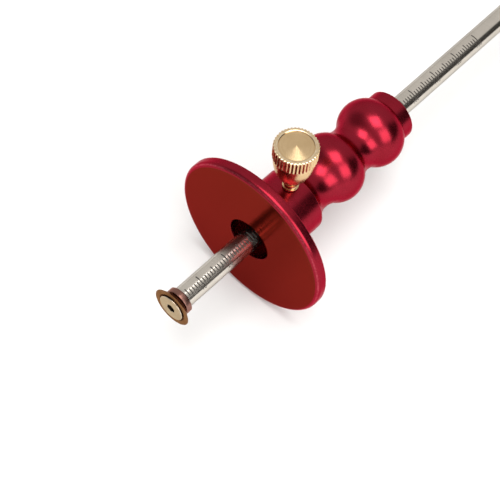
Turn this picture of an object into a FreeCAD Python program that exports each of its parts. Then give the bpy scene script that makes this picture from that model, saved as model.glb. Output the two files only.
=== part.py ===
import FreeCAD, Part
import Sketcher
import math
import os

# Wheel marking gauge.
# Frame: origin at the centre of the fence's flat face, +X along the rod
# towards the grip's tail, +Z up the thumbscrew.  Millimetres.

os.makedirs("parts", exist_ok=True)
doc = FreeCAD.newDocument("marking_gauge")
V = FreeCAD.Vector

# ---------------------------------------------------------------- dimensions
sheet = doc.addObject("Spreadsheet::Sheet", "Sheet")
DIMS = [
    # fence, hub and grip
    ("fence_radius", 25.4), ("fence_face_radius", 24.5), ("fence_thick", 3.5),
    ("fence_front_round", 1.5), ("fence_back_round", 0.45),
    ("recess_radius", 6.9), ("recess_depth", 7.0),
    ("bore_radius", 3.2), ("bore_mouth", 0.35),
    ("hub_radius", 10.15), ("hub_end", 19.3), ("hub_edge", 0.2),
    ("hub_root", 0.4),
    ("waist_a_x", 24.8), ("waist_a_radius", 7.42),
    ("waist_a_front_arc", 6.95), ("waist_a_back_arc", 8.345),
    ("ball_a_x", 34.4), ("ball_b_x", 52.0), ("ball_top", 10.66),
    ("ball_arc", 7.5),
    ("waist_b_x", 43.2), ("waist_b_radius", 7.42), ("waist_b_arc", 6.071),
    ("tail_radius", 7.9), ("tail_start", 57.812), ("tail_end", 61.75),
    ("tail_edge", 0.3),
    # rod
    ("rod_radius", 3.15), ("rod_shoulder", -26.45), ("rod_tail", 171.5),
    ("rod_tail_edge", 0.5), ("spigot_radius", 2.0), ("spigot_end", -29.56),
    ("tap_radius", 1.3), ("tap_depth", 9.0),
    # spacer collar
    ("spacer_radius", 4.0), ("spacer_bore", 2.05), ("spacer_front", -28.93),
    ("spacer_boss_radius", 3.0), ("spacer_face", -28.38),
    ("spacer_edge", 0.3),
    # cutting wheel
    ("wheel_radius", 6.02), ("wheel_front", -30.24), ("wheel_back", -28.98),
    ("wheel_back_radius", 4.4), ("wheel_land", 0.04), ("wheel_bore", 2.05),
    ("wheel_sink_radius", 4.5), ("wheel_sink_depth", 0.62),
    # wheel screw
    ("cap_radius", 4.05), ("cap_front", -30.70), ("cap_back", -29.64),
    ("cap_edge", 0.16), ("cap_shank_radius", 1.25), ("cap_shank_end", -21.0),
    ("cap_socket_flats", 2.5), ("cap_socket_depth", 0.8),
    # thumbscrew
    ("knob_x", 15.9), ("knob_top", 28.75), ("knob_radius", 6.3),
    ("knob_band_base", 24.35), ("knob_edge", 0.22), ("knob_rim_inner", 4.95),
    ("knob_dish_edge", 28.4), ("knob_dish_floor", 29.15),
    ("knob_under_radius", 5.95), ("knob_bowl_radius", 3.2),
    ("knob_bowl_base", 14.6), ("knob_bowl_arc", 17.5),
    ("knob_neck_radius", 1.95), ("knob_neck_top", 12.4),
    ("knob_foot_radius", 2.35), ("knob_foot_top", 11.1),
    ("knob_foot_base", 10.45), ("knob_shank_radius", 1.95),
    ("knob_shank_end", 4.75), ("knob_grooves", 40), ("knob_groove_radius", 0.27),
    ("lock_hole_radius", 2.0),
    # pressure pad
    ("pad_radius", 1.8), ("pad_base", 3.25), ("pad_top", 4.65),
]
for i, (name, value) in enumerate(DIMS, start=1):
    sheet.set("A%d" % i, name)
    sheet.set("B%d" % i, str(value))
    sheet.setAlias("B%d" % i, name)
doc.recompute()
D = {name: float(value) for name, value in DIMS}


def origin_feature(body, role):
    for f in body.Origin.OriginFeatures:
        if f.Role == role:
            return f
    raise RuntimeError(role)


def new_body(label):
    body = doc.addObject("PartDesign::Body", label)
    body.Label = label
    return body


def new_sketch(body, name, role):
    sk = body.newObject("Sketcher::SketchObject", name)
    sk.AttachmentSupport = [(origin_feature(body, role), "")]
    sk.MapMode = "FlatFace"
    return sk


def value_of(expr):
    """Value of a sheet expression such as 'hub_end - hub_edge'."""
    total, sign = 0.0, 1.0
    for tok in expr.replace("-", " - ").replace("+", " + ").split():
        if tok == "-":
            sign = -1.0
        elif tok == "+":
            sign = 1.0
        else:
            total += sign * (D[tok] if tok in D else float(tok))
            sign = 1.0
    return total


def bind(expr):
    """The same expression written with the sheet's name in front."""
    out = []
    for tok in expr.replace("-", " - ").replace("+", " + ").split():
        out.append("Sheet." + tok if tok in D else tok)
    return " ".join(out)


def profile(sk, points, arcs=None):
    """Closed outline.  points: (u, v) expression pairs; arcs: index of the
    segment's first point -> (radius expression, +1 when the centre lies left
    of the run of the segment, -1 when it lies right)."""
    arcs = arcs or {}
    P = [(value_of(u), value_of(v)) for u, v in points]
    n = len(P)
    geo = []
    for i in range(n):
        a, b = P[i], P[(i + 1) % n]
        if i in arcs:
            rad, side = value_of(arcs[i][0]), arcs[i][1]
            mx, my = (a[0] + b[0]) / 2, (a[1] + b[1]) / 2
            dx, dy = b[0] - a[0], b[1] - a[1]
            L = math.hypot(dx, dy)
            h = math.sqrt(max(rad * rad - L * L / 4, 0.0))
            cx, cy = mx - dy / L * h * side, my + dx / L * h * side
            a0 = math.atan2(a[1] - cy, a[0] - cx)
            a1 = math.atan2(b[1] - cy, b[0] - cx)
            circ = Part.Circle(V(cx, cy, 0), V(0, 0, 1), rad)
            if side > 0:      # counter-clockwise run
                geo.append(Part.ArcOfCircle(circ, a0, a1 if a1 > a0 else a1 + 2 * math.pi))
            else:
                geo.append(Part.ArcOfCircle(circ, a1, a0 if a0 > a1 else a0 + 2 * math.pi))
        else:
            geo.append(Part.LineSegment(V(a[0], a[1], 0), V(b[0], b[1], 0)))
    ids = [sk.addGeometry(g, False) for g in geo]

    def ends(i):
        # position codes of the segment's first and last point
        if i in arcs and arcs[i][1] < 0:
            return 2, 1
        return 1, 2
    for i in range(n):
        j = (i + 1) % n
        sk.addConstraint(Sketcher.Constraint("Coincident", ids[i], ends(i)[1], ids[j], ends(j)[0]))
    for i in range(n):
        for kind, k in (("DistanceX", 0), ("DistanceY", 1)):
            v = P[i][k]
            expr = points[i][k]
            pos = ends(i)[0]
            if abs(v) < 1e-9:
                sk.addConstraint(Sketcher.Constraint(
                    "PointOnObject", ids[i], pos, -2 if kind == "DistanceX" else -1))
                continue
            c = sk.addConstraint(Sketcher.Constraint(kind, -1, 1, ids[i], pos, v))
            sk.setExpression("Constraints[%d]" % c, bind(expr))
    for i in arcs:
        c = sk.addConstraint(Sketcher.Constraint("Radius", ids[i], value_of(arcs[i][0])))
        sk.setExpression("Constraints[%d]" % c, bind(arcs[i][0]))
    return ids


def revolve(body, sk, name, axis):
    rev = body.newObject("PartDesign::Revolution", name)
    rev.Profile = sk
    rev.ReferenceAxis = (sk, [axis])
    rev.Angle = 360.0
    return rev


def circle_sketch(body, name, role, cx, cy, rad):
    sk = new_sketch(body, name, role)
    x, y, r = value_of(cx), value_of(cy), value_of(rad)
    g = sk.addGeometry(Part.Circle(V(x, y, 0), V(0, 0, 1), r), False)
    for kind, v, e, axis in (("DistanceX", x, cx, -2), ("DistanceY", y, cy, -1)):
        if abs(v) < 1e-9:
            sk.addConstraint(Sketcher.Constraint("PointOnObject", g, 3, axis))
        else:
            c = sk.addConstraint(Sketcher.Constraint(kind, -1, 1, g, 3, v))
            sk.setExpression("Constraints[%d]" % c, bind(e))
    c = sk.addConstraint(Sketcher.Constraint("Radius", g, r))
    sk.setExpression("Constraints[%d]" % c, bind(rad))
    return sk


# tangent points of the grip's arcs, from the sheet's own values
def join(ax, ay, ar, bx, by, br):
    """Point where two outside-tangent circles touch."""
    k = ar / (ar + br)
    return ax + (bx - ax) * k, ay + (by - ay) * k


ball_y = D["ball_top"] - D["ball_arc"]
wa_y = D["waist_a_radius"] + D["waist_a_back_arc"]
wb_y = D["waist_b_radius"] + D["waist_b_arc"]
J1 = join(D["waist_a_x"], wa_y, D["waist_a_back_arc"], D["ball_a_x"], ball_y, D["ball_arc"])
J2 = join(D["ball_a_x"], ball_y, D["ball_arc"], D["waist_b_x"], wb_y, D["waist_b_arc"])
J3 = join(D["waist_b_x"], wb_y, D["waist_b_arc"], D["ball_b_x"], ball_y, D["ball_arc"])
row = len(DIMS) + 1
for name, value in (("join_a_x", J1[0]), ("join_a_y", J1[1]), ("join_b_x", J2[0]),
                    ("join_b_y", J2[1]), ("join_c_x", J3[0]), ("join_c_y", J3[1])):
    value = round(value, 4)
    sheet.set("A%d" % row, name)
    sheet.set("B%d" % row, str(value))
    sheet.setAlias("B%d" % row, name)
    D[name] = value
    row += 1
doc.recompute()

# --------------------------------------------------------- fence, hub and grip
stock = new_body("stock")
sk = new_sketch(stock, "stock_outline", "XZ_Plane")
pts = [
    ("0", "recess_radius"),                                             # 0
    ("0", "fence_radius - fence_front_round"),                          # 1 arc
    ("fence_front_round", "fence_radius"),                              # 2
    ("fence_thick - fence_back_round", "fence_radius"),                 # 3 arc
    ("fence_thick", "fence_radius - fence_back_round"),                 # 4
    ("fence_thick", "hub_radius + hub_root"),                           # 5 arc
    ("fence_thick + hub_root", "hub_radius"),                           # 6
    ("hub_end - hub_edge", "hub_radius"),                               # 7
    ("hub_end", "hub_radius - hub_edge"),                               # 8 arc
    ("waist_a_x", "waist_a_radius"),                                    # 9 arc
    ("join_a_x", "join_a_y"),                                           # 10 arc
    ("join_b_x", "join_b_y"),                                           # 11 arc
    ("join_c_x", "join_c_y"),                                           # 12 arc
    ("tail_start", "tail_radius"),                                      # 13
    ("tail_end - tail_edge", "tail_radius"),                            # 14 arc
    ("tail_end", "tail_radius - tail_edge"),                            # 15
    ("tail_end", "bore_radius + bore_mouth"),                           # 16
    ("tail_end - bore_mouth", "bore_radius"),                           # 17
    ("recess_depth", "bore_radius"),                                    # 18
    ("recess_depth", "recess_radius"),                                  # 19
]
arcs = {
    1: ("fence_front_round", -1), 3: ("fence_back_round", -1), 5: ("hub_root", 1),
    8: ("waist_a_front_arc", 1), 9: ("waist_a_back_arc", 1), 10: ("ball_arc", -1),
    11: ("waist_b_arc", 1), 12: ("ball_arc", -1), 14: ("tail_edge", -1),
}
profile(sk, pts, arcs)
revolve(stock, sk, "stock_turned", "H_Axis")
doc.recompute()
hole = circle_sketch(stock, "lock_hole_sketch", "XY_Plane", "knob_x", "0", "lock_hole_radius")
doc.recompute()
before = stock.Shape.Volume
pk = stock.newObject("PartDesign::Pocket", "lock_hole")
pk.Profile = hole
pk.Type = "Length"
pk.Length = 12.0
pk.setExpression("Length", "Sheet.hub_radius + 2")
pk.Reversed = True
doc.recompute()
bb = stock.Shape.BoundBox

# ------------------------------------------------------------------------ rod
rod = new_body("rod")
sk = new_sketch(rod, "rod_outline", "XZ_Plane")
profile(sk, [
    ("spigot_end", "tap_radius"), ("spigot_end", "spigot_radius"),
    ("rod_shoulder", "spigot_radius"), ("rod_shoulder", "rod_radius"),
    ("rod_tail - rod_tail_edge", "rod_radius"), ("rod_tail", "rod_radius - rod_tail_edge"),
    ("rod_tail", "0"), ("spigot_end + tap_depth", "0"), ("spigot_end + tap_depth", "tap_radius"),
])
revolve(rod, sk, "rod_turned", "H_Axis")

# -------------------------------------------------------------- spacer collar
spacer = new_body("spacer_collar")
sk = new_sketch(spacer, "spacer_outline", "XZ_Plane")
profile(sk, [
    ("spacer_front", "spacer_bore"), ("spacer_front", "spacer_boss_radius"),
    ("spacer_face", "spacer_boss_radius"), ("spacer_face", "spacer_radius - spacer_edge"),
    ("spacer_face + spacer_edge", "spacer_radius"),
    ("rod_shoulder - spacer_edge", "spacer_radius"),
    ("rod_shoulder", "spacer_radius - spacer_edge"), ("rod_shoulder", "spacer_bore"),
], {3: ("spacer_edge", -1), 5: ("spacer_edge", -1)})
revolve(spacer, sk, "spacer_turned", "H_Axis")

# -------------------------------------------------------------- cutting wheel
wheel = new_body("cutting_wheel")
sk = new_sketch(wheel, "wheel_outline", "XZ_Plane")
profile(sk, [
    ("wheel_front", "wheel_sink_radius"), ("wheel_front", "wheel_radius"),
    ("wheel_front + wheel_land", "wheel_radius"), ("wheel_back", "wheel_back_radius"),
    ("wheel_back", "wheel_bore"), ("wheel_front + wheel_sink_depth", "wheel_bore"),
    ("wheel_front + wheel_sink_depth", "wheel_sink_radius"),
])
revolve(wheel, sk, "wheel_turned", "H_Axis")

# ---------------------------------------------------------------- wheel screw
screw = new_body("wheel_screw")
sk = new_sketch(screw, "screw_outline", "XZ_Plane")
profile(sk, [
    ("cap_front", "0"), ("cap_front", "cap_radius - cap_edge"),
    ("cap_front + cap_edge", "cap_radius"), ("cap_back", "cap_radius"),
    ("cap_back", "cap_shank_radius"), ("cap_shank_end", "cap_shank_radius"),
    ("cap_shank_end", "0"),
])
revolve(screw, sk, "screw_turned", "H_Axis")
doc.recompute()
# hex socket, cut from the head's flat face inwards
sk = new_sketch(screw, "socket_outline", "YZ_Plane")
apothem = D["cap_socket_flats"] / 2
corner = apothem / math.cos(math.pi / 6)
hexpts = [V(corner * math.cos(math.pi / 3 * k), corner * math.sin(math.pi / 3 * k), 0) for k in range(6)]
ids = [sk.addGeometry(Part.LineSegment(hexpts[k], hexpts[(k + 1) % 6]), False) for k in range(6)]
ring = sk.addGeometry(Part.Circle(V(0, 0, 0), V(0, 0, 1), corner), True)
for k in range(6):
    sk.addConstraint(Sketcher.Constraint("Coincident", ids[k], 2, ids[(k + 1) % 6], 1))
    sk.addConstraint(Sketcher.Constraint("PointOnObject", ids[k], 1, ring))
for k in range(1, 6):
    sk.addConstraint(Sketcher.Constraint("Equal", ids[0], ids[k]))
sk.addConstraint(Sketcher.Constraint("Coincident", ring, 3, -1, 1))
sk.addConstraint(Sketcher.Constraint("PointOnObject", ids[0], 1, -1))
c = sk.addConstraint(Sketcher.Constraint("Radius", ring, corner))
sk.setExpression("Constraints[%d]" % c, "Sheet.cap_socket_flats / 2 / cos(30)")
sk.AttachmentOffset = FreeCAD.Placement(V(0, 0, D["cap_front"]), FreeCAD.Rotation())
sk.setExpression("AttachmentOffset.Base.z", "Sheet.cap_front")
doc.recompute()
whole = screw.Shape.Volume
pk2 = screw.newObject("PartDesign::Pocket", "hex_socket")
pk2.Profile = sk
pk2.Type = "Length"
pk2.Length = D["cap_socket_depth"]
pk2.setExpression("Length", "Sheet.cap_socket_depth")
pk2.Reversed = True
doc.recompute()
want = 2 * math.sqrt(3) * apothem ** 2 * D["cap_socket_depth"]
if abs((whole - screw.Shape.Volume) - want) > 0.05 * want:
    pk2.Reversed = False
    doc.recompute()
if abs((whole - screw.Shape.Volume) - want) > 0.05 * want:
    raise RuntimeError("hex socket volume %.3f, wanted %.3f" % (whole - screw.Shape.Volume, want))

# ----------------------------------------------------------------- thumbscrew
# turned about its own Z axis, then stood over the hub
knob = new_body("thumbscrew")
sk = new_sketch(knob, "knob_outline", "XZ_Plane")
profile(sk, [
    ("0", "knob_shank_end"), ("knob_shank_radius", "knob_shank_end"),
    ("knob_shank_radius", "knob_foot_base"), ("knob_foot_radius", "knob_foot_base"),
    ("knob_foot_radius", "knob_foot_top"), ("knob_neck_radius", "knob_foot_top"),
    ("knob_neck_radius", "knob_neck_top"), ("knob_bowl_radius", "knob_bowl_base"),
    ("knob_under_radius", "knob_band_base"), ("knob_radius - knob_edge", "knob_band_base"),
    ("knob_radius", "knob_band_base + knob_edge"), ("knob_radius", "knob_top - knob_edge"),
    ("knob_radius - knob_edge", "knob_top"), ("knob_rim_inner", "knob_top"),
    ("knob_rim_inner", "knob_dish_edge"), ("0", "knob_dish_floor"),
], {7: ("knob_bowl_arc", 1)})
revolve(knob, sk, "knob_turned", "V_Axis")
doc.recompute()
sk = circle_sketch(knob, "groove_sketch", "XY_Plane", "knob_radius", "0", "knob_groove_radius")
sk.AttachmentOffset = FreeCAD.Placement(V(0, 0, D["knob_top"] + 0.5), FreeCAD.Rotation())
sk.setExpression("AttachmentOffset.Base.z", "Sheet.knob_top + 0.5")
doc.recompute()
gv = knob.Shape.Volume
gr = knob.newObject("PartDesign::Pocket", "knob_groove")
gr.Profile = sk
gr.Type = "Length"
gr.Length = D["knob_top"] + 0.5 - D["knob_band_base"] + 0.4
gr.setExpression("Length", "Sheet.knob_top + 0.9 - Sheet.knob_band_base")
doc.recompute()
if gv - knob.Shape.Volume < 0.1:
    gr.Reversed = True
    doc.recompute()
if gv - knob.Shape.Volume < 0.1:
    raise RuntimeError("knurl groove cut nothing")
pp = knob.newObject("PartDesign::PolarPattern", "knurl")
pp.Originals = [gr]
pp.Axis = (origin_feature(knob, "Z_Axis"), [""])
pp.Angle = 360.0
pp.Occurrences = int(D["knob_grooves"])
pp.setExpression("Occurrences", "Sheet.knob_grooves")
knob.Tip = pp
doc.recompute()
knob.Placement = FreeCAD.Placement(V(D["knob_x"], 0, 0), FreeCAD.Rotation())
knob.setExpression("Placement.Base.x", "Sheet.knob_x")

# --------------------------------------------------------------- pressure pad
pad = new_body("pressure_pad")
sk = circle_sketch(pad, "pad_outline", "XY_Plane", "0", "0", "pad_radius")
sk.AttachmentOffset = FreeCAD.Placement(V(0, 0, D["pad_base"]), FreeCAD.Rotation())
sk.setExpression("AttachmentOffset.Base.z", "Sheet.pad_base")
doc.recompute()
pl = pad.newObject("PartDesign::Pad", "pad_round")
pl.Profile = sk
pl.Type = "Length"
pl.Length = D["pad_top"] - D["pad_base"]
pl.setExpression("Length", "Sheet.pad_top - Sheet.pad_base")
pad.Placement = FreeCAD.Placement(V(D["knob_x"], 0, 0), FreeCAD.Rotation())
pad.setExpression("Placement.Base.x", "Sheet.knob_x")
doc.recompute()

# --------------------------------------------------------------------- checks
bad = []
for o in doc.Objects:
    if any(s in ("Invalid", "Error") for s in o.State):
        bad.append("%s: %s" % (o.Name, o.State))
cut = before - stock.Shape.Volume
if cut < 50:
    bad.append("lock hole cut only %.2f mm3" % cut)
BODIES = [stock, rod, spacer, wheel, screw, knob, pad]
for b in BODIES:
    s = b.Shape
    if s.isNull() or not s.isValid() or len(s.Solids) != 1:
        bad.append("%s: null, invalid or %d solids" % (b.Label, len(s.Solids)))
if bad:
    raise RuntimeError("; ".join(bad))
for b in BODIES:
    b.Shape.exportStep("parts/%s.step" % b.Label)
    box = b.Shape.BoundBox
    print("%-14s vol %9.2f  x %.2f..%.2f  y %.2f..%.2f  z %.2f..%.2f" % (
        b.Label, b.Shape.Volume, box.XMin, box.XMax, box.YMin, box.YMax, box.ZMin, box.ZMax))
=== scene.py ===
import math

import bmesh
import bpy
import numpy as np
from mathutils import Matrix, Vector


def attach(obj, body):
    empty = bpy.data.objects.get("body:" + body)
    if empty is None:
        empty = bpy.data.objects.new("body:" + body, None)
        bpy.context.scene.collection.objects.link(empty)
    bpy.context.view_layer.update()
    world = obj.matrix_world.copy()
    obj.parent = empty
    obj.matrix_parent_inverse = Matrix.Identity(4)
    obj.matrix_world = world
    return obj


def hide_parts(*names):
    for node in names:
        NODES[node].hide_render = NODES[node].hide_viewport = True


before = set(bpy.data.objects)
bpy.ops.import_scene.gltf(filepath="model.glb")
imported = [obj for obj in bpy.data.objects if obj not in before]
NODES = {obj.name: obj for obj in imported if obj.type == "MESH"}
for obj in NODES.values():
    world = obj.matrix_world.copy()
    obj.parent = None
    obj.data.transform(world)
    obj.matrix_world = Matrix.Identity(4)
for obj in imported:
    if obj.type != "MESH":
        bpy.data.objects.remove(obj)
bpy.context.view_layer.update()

MM = 0.001
scene = bpy.context.scene

# =====================================================================
# sizes, in millimetres, as the design has them
# =====================================================================
FENCE_R, FENCE_T, FRONT_ROUND, BACK_ROUND = 25.4, 3.5, 1.5, 0.45
RECESS_R, RECESS_D, BORE_R = 6.9, 7.0, 3.2
HUB_R, HUB_END = 10.15, 19.3
WAIST_R, WA_X, WA_FRONT, WA_BACK = 7.42, 24.8, 6.95, 8.345
BALL_TOP, BALL_ARC, BALL_A, BALL_B = 10.66, 7.5, 34.4, 52.0
WB_X, WB_ARC = 43.2, 6.071
TAIL_R, TAIL_X0, TAIL_X1 = 7.9, 57.812, 61.75
ROD_R, ROD_SHOULDER, ROD_TAIL = 3.15, -26.45, 171.5
SPIGOT_R, SPIGOT_END = 2.0, -29.56
TAP_R, TAP_D = 1.3, 9.0
SCALE_ZERO = -30.24
KNOB_X = 15.9


# =====================================================================
# mesh helpers
# =====================================================================
def arc(cx, cy, r, a0, a1, n):
    """Points of an arc, angles in degrees, both ends included."""
    return [(cx + r * math.cos(math.radians(a0 + (a1 - a0) * i / n)),
             cy + r * math.sin(math.radians(a0 + (a1 - a0) * i / n))) for i in range(n + 1)]


def rounded(points, radii, seg=5):
    """Closed outline with its corners rounded; radii has one value per point."""
    out = []
    n = len(points)
    for i, p in enumerate(points):
        r = radii[i]
        if not r:
            out.append(tuple(p))
            continue
        p = Vector(p)
        a = (Vector(points[i - 1]) - p)
        b = (Vector(points[(i + 1) % n]) - p)
        la, lb = a.length, b.length
        a.normalize()
        b.normalize()
        half = a.angle(b) / 2
        d = min(r / math.tan(half), 0.49 * la, 0.49 * lb)
        r2 = d * math.tan(half)
        c = p + (a + b).normalized() * (r2 / math.sin(half))
        s, e = p + a * d - c, p + b * d - c
        t0 = math.atan2(s.y, s.x)
        t1 = math.atan2(e.y, e.x)
        dt = (t1 - t0 + math.pi) % (2 * math.pi) - math.pi
        for k in range(seg + 1):
            t = t0 + dt * k / seg
            out.append((c.x + r2 * math.cos(t), c.y + r2 * math.sin(t)))
    return out


def thin(points, gap=0.0008):
    out = []
    for p in points:
        if not out or math.dist(p, out[-1]) > gap:
            out.append(p)
    if len(out) > 2 and math.dist(out[0], out[-1]) < gap:
        out.pop()
    return out


def make_object(name, verts, faces, mats, sharp=28.0, face_mats=None):
    me = bpy.data.meshes.new(name)
    me.from_pydata([tuple(v) for v in verts], [], faces)
    for m in mats:
        me.materials.append(m)
    if face_mats is not None:
        me.polygons.foreach_set("material_index", face_mats)
    me.polygons.foreach_set("use_smooth", [True] * len(me.polygons))
    me.update()
    bm = bmesh.new()
    bm.from_mesh(me)
    bmesh.ops.recalc_face_normals(bm, faces=bm.faces)
    bm.to_mesh(me)
    bm.free()
    me.set_sharp_from_angle(angle=math.radians(sharp))
    ob = bpy.data.objects.new(name, me)
    scene.collection.objects.link(ob)
    return ob


def place(axis, a, r, t, cx=0.0):
    """A point at axial place a, radius r and angle t.  For 'X' the angle is
    taken from +Z towards -Y; for 'Z' from +X towards +Y, about x = cx."""
    if axis == "X":
        return (a * MM, -r * math.sin(t) * MM, r * math.cos(t) * MM)
    return ((cx + r * math.cos(t)) * MM, r * math.sin(t) * MM, a * MM)


def lathe(name, prof, mats, axis="X", seg=192, cx=0.0, closed=True, sharp=28.0, radius_at=None):
    """Turned solid.  prof: (axial, radius) points of a closed outline; an
    outline that touches the axis starts and ends there and isn't closed."""
    verts, faces, rings = [], [], []
    for a, r in prof:
        if r < 1e-6:
            rings.append([len(verts)])
            verts.append(place(axis, a, 0.0, 0.0, cx))
            continue
        ring = []
        for k in range(seg):
            t = 2 * math.pi * k / seg
            rr = radius_at(a, r, t) if radius_at else r
            ring.append(len(verts))
            verts.append(place(axis, a, rr, t, cx))
        rings.append(ring)
    pairs = list(zip(rings, rings[1:]))
    if closed:
        pairs.append((rings[-1], rings[0]))
    for A, B in pairs:
        if len(A) == 1 and len(B) == 1:
            continue
        for k in range(seg):
            j = (k + 1) % seg
            if len(A) == 1:
                faces.append((A[0], B[k], B[j]))
            elif len(B) == 1:
                faces.append((A[k], B[0], A[j]))
            else:
                faces.append((A[k], B[k], B[j], A[j]))
    return make_object(name, verts, faces, mats, sharp)


# =====================================================================
# material helpers
# =====================================================================
class Nodes:
    def __init__(self, name):
        self.mat = bpy.data.materials.new(name)
        self.mat.use_nodes = True
        self.t = self.mat.node_tree
        self.bsdf = self.t.nodes["Principled BSDF"]

    def link(self, a, b):
        self.t.links.new(a, b)

    def coords_mm(self):
        tc = self.t.nodes.new("ShaderNodeTexCoord")
        vm = self.t.nodes.new("ShaderNodeVectorMath")
        vm.operation = "SCALE"
        vm.inputs["Scale"].default_value = 1000.0
        self.link(tc.outputs["Object"], vm.inputs[0])
        return vm.outputs[0]

    def math(self, op, a, b=None, c=None, clamp=False):
        n = self.t.nodes.new("ShaderNodeMath")
        n.operation = op
        n.use_clamp = clamp
        for i, v in enumerate((a, b, c)):
            if v is None:
                continue
            if isinstance(v, (int, float)):
                n.inputs[i].default_value = v
            else:
                self.link(v, n.inputs[i])
        return n.outputs[0]

    def split(self, vec):
        n = self.t.nodes.new("ShaderNodeSeparateXYZ")
        self.link(vec, n.inputs[0])
        return n.outputs[0], n.outputs[1], n.outputs[2]

    def join(self, x, y, z):
        n = self.t.nodes.new("ShaderNodeCombineXYZ")
        for i, v in enumerate((x, y, z)):
            if isinstance(v, (int, float)):
                n.inputs[i].default_value = v
            else:
                self.link(v, n.inputs[i])
        return n.outputs[0]

    def noise(self, vec, scale, detail=3.0, rough=0.55, dims="3D"):
        n = self.t.nodes.new("ShaderNodeTexNoise")
        n.noise_dimensions = dims
        n.inputs["Scale"].default_value = scale
        n.inputs["Detail"].default_value = detail
        n.inputs["Roughness"].default_value = rough
        self.link(vec, n.inputs["Vector"])
        return n.outputs["Fac"]

    def remap(self, v, a, b, c, d):
        n = self.t.nodes.new("ShaderNodeMapRange")
        n.interpolation_type = "SMOOTHSTEP"
        n.inputs["From Min"].default_value = a
        n.inputs["From Max"].default_value = b
        n.inputs["To Min"].default_value = c
        n.inputs["To Max"].default_value = d
        self.link(v, n.inputs["Value"])
        return n.outputs["Result"]

    def mix(self, fac, a, b):
        n = self.t.nodes.new("ShaderNodeMix")
        n.data_type = "RGBA"
        for sock, v in (("Factor", fac), ("A", a), ("B", b)):
            s = [i for i in n.inputs if i.name == sock and (i.type == "RGBA" if sock != "Factor" else i.type == "VALUE")][0]
            if isinstance(v, (int, float)):
                s.default_value = v
            elif isinstance(v, tuple):
                s.default_value = (*v, 1.0)
            else:
                self.link(v, s)
        return [o for o in n.outputs if o.type == "RGBA"][0]

    def bump(self, height, strength, distance_mm, normal=None):
        n = self.t.nodes.new("ShaderNodeBump")
        n.inputs["Strength"].default_value = strength
        n.inputs["Distance"].default_value = distance_mm * MM
        self.link(height, n.inputs["Height"])
        if normal is not None:
            self.link(normal, n.inputs["Normal"])
        return n.outputs["Normal"]

    def tangent(self, axis):
        n = self.t.nodes.new("ShaderNodeTangent")
        n.direction_type = "RADIAL"
        n.axis = axis
        self.link(n.outputs[0], self.bsdf.inputs["Tangent"])

    def set(self, **kw):
        for k, v in kw.items():
            self.bsdf.inputs[k.replace("_", " ")].default_value = v


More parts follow.
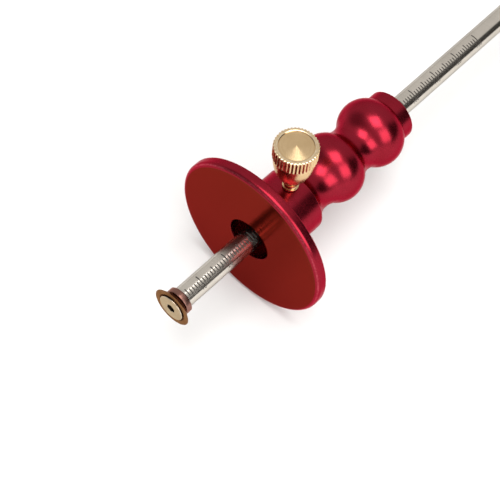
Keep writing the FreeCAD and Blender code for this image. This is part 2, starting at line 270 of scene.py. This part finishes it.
def turned_metal(name, light, dark, rough, axis="X", cx=0.0, aniso=0.4, line_scale=5.0,
                 line_bump=0.25, rough_var=0.06, edges=(), painted_edge_colour=None, face=None,
                 speck=0.0, rotation=0.0, edge_tint=(1.0, 1.0, 1.0), smear_bump=0.05,
                 painted_edge_min_radius=0.0):
    """Metal turned on a lathe: fine circumferential tool lines, slow colour
    drift, a little smearing in the polish, patchy painted highlight lines along chosen edges (a painted shade line
    where the edge colour is darker), and a painted reflection tint on the flat front face when one is given."""
    N = Nodes(name)
    P = N.coords_mm()
    x, y, z = N.split(P)
    if axis == "X":
        ax = x
        rad = N.math("SQRT", N.math("ADD", N.math("POWER", y, 2.0), N.math("POWER", z, 2.0)))
    else:
        ax = z
        xc = N.math("SUBTRACT", x, cx)
        rad = N.math("SQRT", N.math("ADD", N.math("POWER", xc, 2.0), N.math("POWER", y, 2.0)))
    # tool lines vary with the place along the outline only
    lathe_co = N.join(ax, rad, 0.0)
    lines = N.noise(lathe_co, line_scale, 4.0, 0.7)
    fine = N.noise(lathe_co, line_scale * 4.3, 2.0, 0.6)
    drift = N.noise(P, 0.16, 3.0, 0.5)
    smear = N.noise(P, 1.1, 4.0, 0.6)
    tone = N.math("ADD", N.math("MULTIPLY", drift, 0.6), N.math("MULTIPLY", lines, 0.4))
    colour = N.mix(N.remap(tone, 0.3, 0.7, 0.0, 1.0), dark, light)
    if speck:
        dots = N.noise(P, 9.0, 2.0, 0.5)
        colour = N.mix(N.math("MULTIPLY", N.remap(dots, 0.68, 0.78, 0.0, 1.0), speck), colour,
                       tuple(c * 0.35 for c in light))
    # painted reflection: the flat front face is mixed towards a dark brown tint that stands in for a reflected tan
    # board; the lower roughness given to the face further down is the surface's own
    if face is not None:
        lim, painted_reflection_tint, amount, face_rough = face
        flat = N.remap(ax, lim[0], lim[1], 1.0, 0.0)
        m = N.math("MULTIPLY", flat, amount)
        colour = N.mix(m, colour, painted_reflection_tint)
    # painted highlight lines along the listed edges, made patchy by noise; where the edge colour is darker than the
    # metal they paint a shade line instead
    if edges:
        painted_edge_mask = None
        for e0, width in edges:
            d = N.math("ABSOLUTE", N.math("SUBTRACT", ax, e0))
            m = N.remap(d, 0.0, width, 1.0, 0.0)
            painted_edge_mask = m if painted_edge_mask is None else N.math("MAXIMUM", painted_edge_mask, m)
        # no painted edge highlight inside the given radius
        if painted_edge_min_radius:
            painted_edge_mask = N.math("MULTIPLY", painted_edge_mask, N.remap(rad, painted_edge_min_radius, painted_edge_min_radius + 0.3, 0.0, 1.0))
        painted_edge_patchy = N.math("MULTIPLY", painted_edge_mask, N.remap(smear, 0.35, 0.65, 0.25, 0.8))
        colour = N.mix(painted_edge_patchy, colour, painted_edge_colour or tuple(min(1.0, c * 1.6 + 0.03) for c in light))
    N.link(colour, N.bsdf.inputs["Base Color"])
    r = N.math("ADD", rough - rough_var, N.math("MULTIPLY", smear, 2 * rough_var), clamp=True)
    r = N.math("ADD", r, N.math("MULTIPLY", N.math("SUBTRACT", fine, 0.5), 0.05), clamp=True)
    if face is not None:
        r = N.math("SUBTRACT", r, N.math("MULTIPLY", flat, rough - face_rough), clamp=True)
    N.link(r, N.bsdf.inputs["Roughness"])
    h = N.math("ADD", N.math("MULTIPLY", lines, 0.7), N.math("MULTIPLY", fine, 0.3))
    nb = N.bump(h, line_bump, 0.02)
    N.link(N.bump(smear, smear_bump, 0.02, nb), N.bsdf.inputs["Normal"])
    N.set(Metallic=1.0, Specular_Tint=(*edge_tint, 1.0))
    if aniso:
        N.set(Anisotropic=aniso, Anisotropic_Rotation=rotation)
        N.tangent(axis)
    return N.mat


# the edge colour paints highlights on the fence's front and rear rims, the hub end and the tail end; the face tint is
# a painted reflection of a tan board on the fence's front face
RED = turned_metal("red_anodised", (0.292, 0.0165, 0.032), (0.255, 0.0130, 0.024), 0.27, "X", aniso=0.25,
                   line_scale=3.0, line_bump=0.015, smear_bump=0.006, edge_tint=(0.92, 0.46, 0.50),
                   edges=((0.5, 0.3), (3.42, 0.2), (19.2, 0.16), (61.62, 0.22)),
                   painted_edge_colour=(0.50, 0.07, 0.10), face=((0.02, 0.12), (0.136, 0.0210, 0.0095), 0.97, 0.14))
# the edge colour paints a highlight on the rod's tail chamfer
STEEL = turned_metal("rod_steel", (0.66, 0.61, 0.545), (0.57, 0.525, 0.465), 0.18, "X", aniso=0.6, rotation=0.25,
                     line_scale=3.0, line_bump=0.06, rough_var=0.03, edges=((171.4, 0.3),),
                     painted_edge_colour=(0.8, 0.78, 0.74), edge_tint=(0.45, 0.45, 0.45))
# the edge colour paints highlights on the collar's step and rear end
BRONZE = turned_metal("spacer_bronze", (0.29, 0.155, 0.130), (0.19, 0.090, 0.070), 0.28, "X", aniso=0.3,
                      line_scale=9.0, line_bump=0.12, edges=((-28.3, 0.12), (-26.5, 0.12)),
                      painted_edge_colour=(0.42, 0.24, 0.20), edge_tint=(0.8, 0.6, 0.55))
# the edge colour paints a thin dark shade line on the wheel's front rim
WHEEL = turned_metal("wheel_steel", (0.225, 0.130, 0.070), (0.14, 0.073, 0.038), 0.28, "X", aniso=0.3,
                     line_scale=12.0, line_bump=0.12, edges=((-30.2, 0.03),), painted_edge_colour=(0.16, 0.08, 0.03),
                     edge_tint=(0.75, 0.55, 0.45))
# the edge colour paints a highlight on the screw head's rounded rim
GOLD = turned_metal("screw_pale_gold", (0.42, 0.325, 0.215), (0.34, 0.255, 0.16), 0.24, "X", aniso=0.3,
                    line_scale=10.0, line_bump=0.12, edges=((-30.60, 0.12),), painted_edge_colour=(0.95, 0.90, 0.80),
                    edge_tint=(0.85, 0.75, 0.6))
# painted shade: the hex socket gets a near-black colour for the shade inside the hole
SOCKET_SHADE = turned_metal("screw_socket_painted_shade", (0.060, 0.040, 0.022), (0.030, 0.018, 0.010), 0.5, "X", aniso=0.0,
                      line_scale=6.0, line_bump=0.2)
# the edge colour paints highlights on the head's top rim and the band's lower edge; nothing is painted inside a
# radius of 4.7 mm
BRASS = turned_metal("thumbscrew_brass", (0.75, 0.55, 0.32), (0.64, 0.45, 0.24), 0.22, "Z", cx=KNOB_X,
                     aniso=0.45, rotation=0.25, line_scale=5.0, line_bump=0.06, speck=0.25,
                     edges=((28.7, 0.12), (24.45, 0.12), (10.9, 0.15)), painted_edge_colour=(0.95, 0.82, 0.62),
                     edge_tint=(0.95, 0.85, 0.7), painted_edge_min_radius=4.7)


def paint_mat():
    N = Nodes("scale_fill")
    P = N.coords_mm()
    a = N.noise(P, 3.0, 4.0, 0.6)
    N.link(N.mix(N.remap(a, 0.3, 0.7, 0.0, 1.0), (0.022, 0.019, 0.016), (0.06, 0.052, 0.042)),
           N.bsdf.inputs["Base Color"])
    N.link(N.remap(a, 0.3, 0.7, 0.45, 0.7), N.bsdf.inputs["Roughness"])
    N.link(N.bump(N.noise(P, 14.0), 0.2, 0.02), N.bsdf.inputs["Normal"])
    return N.mat


def nylon_mat():
    N = Nodes("pad_nylon")
    P = N.coords_mm()
    a = N.noise(P, 0.9, 4.0, 0.6)
    N.link(N.mix(a, (0.74, 0.73, 0.66), (0.84, 0.83, 0.79)), N.bsdf.inputs["Base Color"])
    N.link(N.remap(a, 0.3, 0.7, 0.4, 0.55), N.bsdf.inputs["Roughness"])
    N.link(N.bump(N.noise(P, 8.0), 0.15, 0.02), N.bsdf.inputs["Normal"])
    return N.mat


PAINT = paint_mat()
NYLON = nylon_mat()


# =====================================================================
# fence, hub and grip
# =====================================================================
def grip_outline():
    ball_y = BALL_TOP - BALL_ARC
    ya, yb, yw = WAIST_R + WA_FRONT, WAIST_R + WA_BACK, WAIST_R + WB_ARC
    k1 = WA_BACK / (WA_BACK + BALL_ARC)
    j1 = WA_X + (BALL_A - WA_X) * k1
    k2 = BALL_ARC / (WB_ARC + BALL_ARC)
    j2 = BALL_A + (WB_X - BALL_A) * k2
    j3 = WB_X + (BALL_B - WB_X) * (1 - k2)

    def r(x):
        if x <= WA_X:
            return ya - math.sqrt(WA_FRONT ** 2 - (x - WA_X) ** 2)
        if x <= j1:
            return yb - math.sqrt(WA_BACK ** 2 - (x - WA_X) ** 2)
        if x <= j2:
            return ball_y + math.sqrt(BALL_ARC ** 2 - (x - BALL_A) ** 2)
        if x <= j3:
            return yw - math.sqrt(WB_ARC ** 2 - (x - WB_X) ** 2)
        return ball_y + math.sqrt(BALL_ARC ** 2 - (x - BALL_B) ** 2)
    xs = np.linspace(HUB_END, TAIL_X0, 150)
    return [(float(x), r(float(x))) for x in xs]


outline = []
outline += [(RECESS_D, BORE_R), (RECESS_D, 5.0)]
outline += arc(RECESS_D - 0.3, RECESS_R - 0.3, 0.3, 0, 90, 4)
outline += [(4.0, RECESS_R), (1.5, RECESS_R), (0.12, RECESS_R)]
outline += [(0.0, RECESS_R + 0.12), (0.0, 9.0), (0.0, 13.0), (0.0, 18.0), (0.0, 22.0)]
outline += [(x, y) for x, y in arc(FRONT_ROUND, FENCE_R - FRONT_ROUND, FRONT_ROUND, 180, 90, 12)]
outline += [(1.8, FENCE_R), (2.5, FENCE_R)]
outline += arc(FENCE_T - BACK_ROUND, FENCE_R - BACK_ROUND, BACK_ROUND, 90, 0, 8)
outline += [(FENCE_T, 22.0), (FENCE_T, 17.0), (FENCE_T, 13.0)]
outline += arc(FENCE_T + 0.4, HUB_R + 0.4, 0.4, 180, 270, 6)
outline += [(7.0, HUB_R), (11.0, HUB_R), (15.0, HUB_R)]
outline += arc(HUB_END - 0.2, HUB_R - 0.2, 0.2, 90, 0, 5)
outline += grip_outline()[1:]
outline += [(58.8, TAIL_R), (60.0, TAIL_R)]
outline += arc(TAIL_X1 - 0.3, TAIL_R - 0.3, 0.3, 90, 0, 6)
outline += [(TAIL_X1, 5.5), (TAIL_X1, BORE_R + 0.35)]
outline += arc(TAIL_X1 - 0.35, BORE_R, 0.35, 0, 0, 1)[:0]
outline += [(TAIL_X1 - 0.12, BORE_R + 0.12), (TAIL_X1 - 0.35, BORE_R), (45.0, BORE_R), (25.0, BORE_R)]
stock = lathe("stock_turned", thin(outline), [RED], "X", 256)

# the tapped cross hole for the thumbscrew
cutter = lathe("hole_cutter", [(0.0, 0.0), (0.0, 2.0), (12.5, 2.0), (12.5, 0.0)], [RED], "Z", 64, cx=KNOB_X, closed=False)
mod = stock.modifiers.new("lock_hole", "BOOLEAN")
mod.operation = "DIFFERENCE"
mod.object = cutter
mod.solver = "EXACT"
dg = bpy.context.evaluated_depsgraph_get()
cut_mesh = bpy.data.meshes.new_from_object(stock.evaluated_get(dg))
stock.modifiers.clear()
old = stock.data
stock.data = cut_mesh
bpy.data.meshes.remove(old)
bpy.data.objects.remove(cutter)
stock.data.polygons.foreach_set("use_smooth", [True] * len(stock.data.polygons))
stock.data.set_sharp_from_angle(angle=math.radians(28))
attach(stock, "stock")
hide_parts("stock")

# =====================================================================
# rod with its engraved scale
# =====================================================================
SEG = 144                     # 2.5 degrees each
STEP = 360.0 / SEG
BASELINE = 35.0               # where the marks end, degrees from +Z towards -Y
STARTS = {"short": 10.0, "mid": -2.5, "long": -15.0}
HALF_W, WALL, DEPTH = 0.16, 0.03, 0.05
marks = {}
for m in range(4, 131):
    kind = "long" if m % 10 == 0 else "mid" if m % 5 == 0 else "short"
    marks[round(SCALE_ZERO + m, 4)] = kind

stations = []                 # (x, radius, kind of mark whose floor this ring is, or None)
stations += [(SPIGOT_END + TAP_D, 0.0, None), (SPIGOT_END + TAP_D, TAP_R, None), (SPIGOT_END + 0.2, TAP_R, None),
             (SPIGOT_END, TAP_R + 0.15, None), (SPIGOT_END, SPIGOT_R - 0.15, None),
             (SPIGOT_END + 0.15, SPIGOT_R, None), (ROD_SHOULDER, SPIGOT_R, None),
             (ROD_SHOULDER, ROD_R - 0.1, None), (ROD_SHOULDER + 0.1, ROD_R, None)]
for x in sorted(marks):
    kind = marks[x]
    stations += [(x - HALF_W - WALL, ROD_R, None), (x - HALF_W, ROD_R, kind),
                 (x + HALF_W, ROD_R, kind), (x + HALF_W + WALL, ROD_R, None)]
for x in (104.0, 112.0, 124.0, 136.0, 148.0, 160.0):
    stations.append((x, ROD_R, None))
stations += [(ROD_TAIL - 0.5, ROD_R, None), (ROD_TAIL - 0.42, ROD_R - 0.03, None),
             (ROD_TAIL - 0.04, ROD_R - 0.46, None), (ROD_TAIL, ROD_R - 0.55, None),
             (ROD_TAIL, 1.5, None), (ROD_TAIL, 0.0, None)]
verts, faces, fmats, rings, floors = [], [], [], [], []
for x, r, kind in stations:
    if r < 1e-6:
        rings.append([len(verts)])
        verts.append((x * MM, 0.0, 0.0))
        floors.append(None)
        continue
    ring, low = [], []
    for k in range(SEG):
        deg = k * STEP
        if deg > 180:
            deg -= 360
        rr, dip = r, False
        if kind and STARTS[kind] - 0.01 <= deg <= BASELINE + 0.01:
            rr, dip = r - DEPTH, True
        ring.append(len(verts))
        low.append(dip)
        verts.append(place("X", x, rr, math.radians(deg)))
    rings.append(ring)
    floors.append(low)
for i in range(len(rings) - 1):
    A, B = rings[i], rings[i + 1]
    fa, fb = floors[i], floors[i + 1]
    for k in range(SEG):
        j = (k + 1) % SEG
        if len(A) == 1:
            faces.append((A[0], B[k], B[j]))
            fmats.append(0)
        elif len(B) == 1:
            faces.append((A[k], B[0], A[j]))
            fmats.append(0)
        else:
            faces.append((A[k], B[k], B[j], A[j]))
            n_low = fa[k] + fa[j] + fb[k] + fb[j]
            fmats.append(1 if n_low >= 2 else 0)
rod = make_object("rod_engraved", verts, faces, [STEEL, PAINT], 25.0, fmats)
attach(rod, "rod")
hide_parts("rod")


def wrap_text(txt, x_mid, start_deg, height_mm, name):
    """Figures laid round the rod: they read along +X, with their tops
    towards the marks."""
    cu = bpy.data.curves.new(name + "_c", "FONT")
    cu.body = txt
    cu.size = 1.0
    cu.extrude = 0.02
    cu.resolution_u = 4
    ob = bpy.data.objects.new(name + "_c", cu)
    scene.collection.objects.link(ob)
    dg = bpy.context.evaluated_depsgraph_get()
    me = bpy.data.meshes.new_from_object(ob.evaluated_get(dg))
    bpy.data.objects.remove(ob)
    bpy.data.curves.remove(cu)
    bm = bmesh.new()
    bm.from_mesh(me)
    bpy.data.meshes.remove(me)
    bmesh.ops.remove_doubles(bm, verts=bm.verts, dist=1e-5)
    xs = [v.co.x for v in bm.verts]
    ys = [v.co.y for v in bm.verts]
    x0, x1, y0, y1 = min(xs), max(xs), min(ys), max(ys)
    s = height_mm / (y1 - y0)
    for c in np.linspace(y0, y1, 9)[1:-1]:
        geom = bm.verts[:] + bm.edges[:] + bm.faces[:]
        bmesh.ops.bisect_plane(bm, geom=geom, plane_co=(0, float(c), 0), plane_no=(0, 1, 0))
    out_v, out_f = [], []
    bm.verts.ensure_lookup_table()
    for v in bm.verts:
        u = (v.co.x - (x0 + x1) / 2) * s * 0.9 + x_mid
        w = (y1 - v.co.y) * s                      # distance below the figures' tops
        rr = ROD_R + (0.012 if v.co.z > 0 else -0.03)
        out_v.append(place("X", u, rr, math.radians(start_deg) + w / ROD_R))
    for f in bm.faces:
        out_f.append(tuple(v.index for v in f.verts))
    bm.verts.index_update()
    bm.free()
    return out_v, out_f


fv, ff = [], []
for m in range(10, 131, 10):
    v, f = wrap_text(str(m), SCALE_ZERO + m, 39.5, 1.4, "fig%d" % m)
    base = len(fv)
    fv += v
    ff += [tuple(i + base for i in t) for t in f]
figures = make_object("scale_figures", fv, ff, [PAINT], 30.0)
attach(figures, "rod")

# =====================================================================
# spacer collar, cutting wheel, wheel screw
# =====================================================================
spacer = lathe("spacer_turned", thin(rounded(
    [(-28.93, 2.05), (-28.93, 3.0), (-28.38, 3.0), (-28.38, 4.0), (-26.45, 4.0), (-26.45, 2.05)],
    [0.05, 0.06, 0.06, 0.3, 0.3, 0.05], 6)), [BRONZE], "X", 160)
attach(spacer, "rod")
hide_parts("spacer_collar")

wheel = lathe("wheel_ground", thin(
    [(-30.24, 4.5), (-30.24, 5.0), (-30.24, 5.6), (-30.24, 5.98), (-30.225, 6.01), (-30.20, 6.02), (-30.185, 6.0)]
    + [(-30.185 + (1.205) * k / 6, 6.0 - 1.6 * k / 6) for k in range(1, 7)]
    + [(-28.98, 3.2), (-28.98, 2.1), (-29.03, 2.05), (-29.57, 2.05), (-29.62, 2.1), (-29.62, 3.4), (-29.62, 4.4),
       (-29.66, 4.47), (-29.7, 4.5), (-30.16, 4.5)]), [WHEEL], "X", 200, sharp=20.0)
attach(wheel, "wheel")
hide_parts("cutting_wheel")

# flat-headed screw: the face is a web between the round edge and the hex socket
HEXN = 96
hex_r = 2.5 / 2 / math.cos(math.pi / 6)


def hex_at(k):
    t = 2 * math.pi * k / HEXN
    a = (t % (math.pi / 3)) - math.pi / 6
    r = 1.25 / math.cos(a)
    return r, t


verts, faces, rings = [], [], []


def hring(x, scale, circ=None, blend=0.0):
    ring = []
    for k in range(HEXN):
        r, t = hex_at(k)
        r *= scale
        if circ is not None:
            r = r * (1 - blend) + circ * blend
        ring.append(len(verts))
        verts.append(place("X", x, r, t))
    rings.append(ring)


def cring(x, r):
    ring = []
    for k in range(HEXN):
        ring.append(len(verts))
        verts.append(place("X", x, r, 2 * math.pi * k / HEXN))
    rings.append(ring)


centre_floor = len(verts)
verts.append((-29.72 * MM, 0, 0))
hring(-29.9, 0.92)
hring(-29.96, 1.0)
hring(-30.64, 1.0)
hring(-30.70, 1.05)
hring(-30.70, 1.3, 2.4, 0.6)
cring(-30.70, 2.9)
cring(-30.70, 3.5)
for a, r in arc(-30.70 + 0.16, 4.05 - 0.16, 0.16, 180, 90, 5):
    cring(a, r)
cring(-30.2, 4.05)
cring(-29.8, 4.05)
cring(-29.68, 4.01)
cring(-29.64, 3.91)
cring(-29.64, 2.6)
cring(-29.64, 1.25)
cring(-21.3, 1.25)
cring(-21.0, 1.0)
end = len(verts)
verts.append((-21.0 * MM, 0, 0))
for k in range(HEXN):
    faces.append((centre_floor, rings[0][k], rings[0][(k + 1) % HEXN]))
for A, B in zip(rings, rings[1:]):
    for k in range(HEXN):
        j = (k + 1) % HEXN
        faces.append((A[k], B[k], B[j], A[j]))
for k in range(HEXN):
    faces.append((rings[-1][k], end, rings[-1][(k + 1) % HEXN]))
# the socket's floor and walls take the painted-shade material
cap_mats = [1 if i < HEXN * 3 else 0 for i in range(len(faces))]
cap = make_object("wheel_screw_turned", verts, faces, [GOLD, SOCKET_SHADE], 25.0, cap_mats)
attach(cap, "rod")
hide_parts("wheel_screw")

# =====================================================================
# thumbscrew
# =====================================================================
GROOVES = 40
K_R, K_TOP, K_BASE = 6.3, 28.75, 24.35


def knurl(a, r, t):
    """Straight flutes round the head's band; they fade out at its ends."""
    if r < 5.7 or a < K_BASE - 0.02:
        return r
    fade = min(1.0, max(0.0, (a - K_BASE) / 0.25))
    p = (t * GROOVES / (2 * math.pi)) % 1.0
    s = 0.5 - 0.5 * math.cos(2 * math.pi * p)      # 0 on the ridge's middle, 1 in the flute
    s = s ** 0.75
    top = min(1.0, max(0.0, (r - 5.75) / 0.3))
    return r - 0.25 * s * fade * top


prof = [(4.75, 0.0), (4.75, 1.6), (4.9, 1.95)]
z = 5.0
prof += [(5.2, 1.95), (10.45, 1.95), (10.45, 2.2), (10.5, 2.32), (10.6, 2.35), (10.95, 2.35), (11.06, 2.3), (11.1, 2.18)]
prof += [(11.14, 2.02), (11.25, 1.95), (12.3, 1.95)]
# neck into the bowl, bowl up to the band: an arc bulging outwards
prof += [(12.5, 1.97), (12.9, 2.12), (13.5, 2.48), (14.1, 2.86), (14.6, 3.2)]
p0, p1, R = Vector((14.6, 3.2)), Vector((24.35, 5.95)), 17.5
mid, dv = (p0 + p1) / 2, (p1 - p0)
h = math.sqrt(R * R - dv.length_squared / 4)
nrm = Vector((dv.y, -dv.x)).normalized()          # towards the axis
c = mid + nrm * h
t0, t1 = math.atan2(p0.y - c.y, p0.x - c.x), math.atan2(p1.y - c.y, p1.x - c.x)
prof += [(c.x + R * math.cos(t0 + (t1 - t0) * k / 24), c.y + R * math.sin(t0 + (t1 - t0) * k / 24)) for k in range(1, 24)]
prof += [(24.32, 5.95), (24.35, 6.02), (24.42, 6.2), (24.52, 6.28), (24.62, 6.3), (25.5, 6.3), (26.6, 6.3), (27.7, 6.3), (28.45, 6.3),
         (28.58, 6.27), (28.68, 6.19), (28.74, 6.05), (28.76, 5.8), (28.76, 5.5), (28.74, 5.22), (28.69, 5.06),
         (28.60, 4.98), (28.50, 4.95), (28.42, 4.90), (28.40, 4.80)]
prof += [(28.40 + 0.76 * (1 - r / 4.8), r) for r in np.linspace(4.5, 0.2, 14)]
prof += [(29.15, 0.0)]
knob = lathe("thumbscrew_turned", [(float(a), float(b)) for a, b in prof], [BRASS], "Z", 480, cx=KNOB_X, closed=False,
             sharp=35.0, radius_at=knurl)
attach(knob, "thumbscrew")
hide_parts("thumbscrew")

# the pad keeps its CAD shape
pad = NODES["pressure_pad"]
pad.data.materials.clear()
pad.data.materials.append(NYLON)

# =====================================================================
# floor
# =====================================================================
me = bpy.data.meshes.new("floor")
FLOOR_Z = -0.0256
bm = bmesh.new()
bmesh.ops.create_grid(bm, x_segments=8, y_segments=8, size=3.0)
for v in bm.verts:
    v.co.z = FLOOR_Z
bm.to_mesh(me)
bm.free()
floor = bpy.data.objects.new("floor", me)
scene.collection.objects.link(floor)
N = Nodes("floor_pale")
P = N.coords_mm()
a = N.noise(P, 0.02, 3.0, 0.5)
N.link(N.mix(a, (0.86, 0.86, 0.855), (0.90, 0.90, 0.895)), N.bsdf.inputs["Base Color"])
N.set(Roughness=0.9)
me.materials.append(N.mat)

# =====================================================================
# light
# =====================================================================
def softbox(name, direction, dist, sx, sy, radiance, colour=(1, 1, 1), spin=0.0):
    L = bpy.data.lights.new(name, "AREA")
    L.shape = "RECTANGLE"
    L.size, L.size_y = sx, sy
    L.energy = radiance * math.pi * sx * sy
    L.color = colour
    ob = bpy.data.objects.new(name, L)
    d = Vector(direction).normalized()
    ob.location = Vector((0.02, 0, 0)) + d * dist
    ob.rotation_mode = "QUATERNION"
    ob.rotation_quaternion = d.to_track_quat("Z", "Y")
    scene.collection.objects.link(ob)
    return ob


softbox("softbox_top", (-0.07, -0.12, 0.99), 1.1, 0.75, 0.75, 4.6)
softbox("softbox_side", (-0.13, -0.84, 0.53), 1.1, 0.75, 0.78, 3.4)

world = bpy.data.worlds.new("studio")
scene.world = world
world.use_nodes = True
wt = world.node_tree
wt.nodes.clear()
out = wt.nodes.new("ShaderNodeOutputWorld")
bg = wt.nodes.new("ShaderNodeBackground")
tc = wt.nodes.new("ShaderNodeTexCoord")
wt.links.new(bg.outputs[0], out.inputs[0])


def lobe(direction, inner, outer, depth=1.0):
    """Mask: depth inside the inner angle, 0 outside the outer one."""
    d = Vector(direction).normalized()
    dot = wt.nodes.new("ShaderNodeVectorMath")
    dot.operation = "DOT_PRODUCT"
    wt.links.new(tc.outputs["Generated"], dot.inputs[0])
    dot.inputs[1].default_value = d
    mr = wt.nodes.new("ShaderNodeMapRange")
    mr.interpolation_type = "SMOOTHSTEP"
    mr.inputs["From Min"].default_value = math.cos(math.radians(outer))
    mr.inputs["From Max"].default_value = math.cos(math.radians(inner))
    mr.inputs["To Min"].default_value = 0.0
    mr.inputs["To Max"].default_value = depth
    wt.links.new(dot.outputs["Value"], mr.inputs["Value"])
    return mr.outputs["Result"]


def az_el(az, el):
    return (math.cos(math.radians(az)) * math.cos(math.radians(el)),
            math.sin(math.radians(az)) * math.cos(math.radians(el)), math.sin(math.radians(el)))


# the unlit side of the studio
mask = None
for s in (lobe(az_el(-58, -4), 14, 28, 0.95), lobe(az_el(-56, 12), 14, 26, 0.95), lobe(az_el(-54, 27), 12, 24, 0.95),
          lobe(az_el(-40, 8), 12, 26, 0.9), lobe(az_el(-72, 0), 10, 22, 0.9), lobe(az_el(130, 30), 10, 40, 0.6)):
    if mask is None:
        mask = s
    else:
        mnode = wt.nodes.new("ShaderNodeMath")
        mnode.operation = "MAXIMUM"
        wt.links.new(mask, mnode.inputs[0])
        wt.links.new(s, mnode.inputs[1])
        mask = mnode.outputs[0]
inv = wt.nodes.new("ShaderNodeMath")
inv.operation = "SUBTRACT"
inv.inputs[0].default_value = 1.0
wt.links.new(mask, inv.inputs[1])
val = inv.outputs[0]
sc = wt.nodes.new("ShaderNodeMath")
sc.operation = "MULTIPLY"
sc.inputs[1].default_value = 0.75
wt.links.new(val, sc.inputs[0])
lp = wt.nodes.new("ShaderNodeLightPath")
mx = wt.nodes.new("ShaderNodeMix")
mx.data_type = "FLOAT"
wt.links.new(lp.outputs["Is Camera Ray"], mx.inputs[0])
wt.links.new(sc.outputs[0], mx.inputs[2])
mx.inputs[3].default_value = 0.95
wt.links.new(mx.outputs[0], bg.inputs["Strength"])
bg.inputs["Color"].default_value = (1.0, 0.985, 0.96, 1.0)

# =====================================================================
# camera
# =====================================================================
cam_data = bpy.data.cameras.new("camera")
cam = bpy.data.objects.new("camera", cam_data)
scene.collection.objects.link(cam)
cam_data.sensor_fit = "HORIZONTAL"
cam_data.sensor_width = 36.0
cam_data.lens = 110.0
cam_data.clip_start = 0.01
cam_data.clip_end = 50.0
cam_data.dof.use_dof = False
fwd = Vector((0.42562, 0.31706, -0.84755)).normalized()
upv = Vector((0.5998, 0.6025, 0.5266))
right = fwd.cross(upv).normalized()
upv = right.cross(fwd).normalized()
rot = Matrix((right, upv, -fwd)).transposed()
cam.matrix_world = Matrix.Translation(Vector((-0.180603, -0.13546, 0.355345))) @ rot.to_4x4()
scene.camera = cam
scene.view_settings.view_transform = "Standard"
scene.view_settings.look = "None"
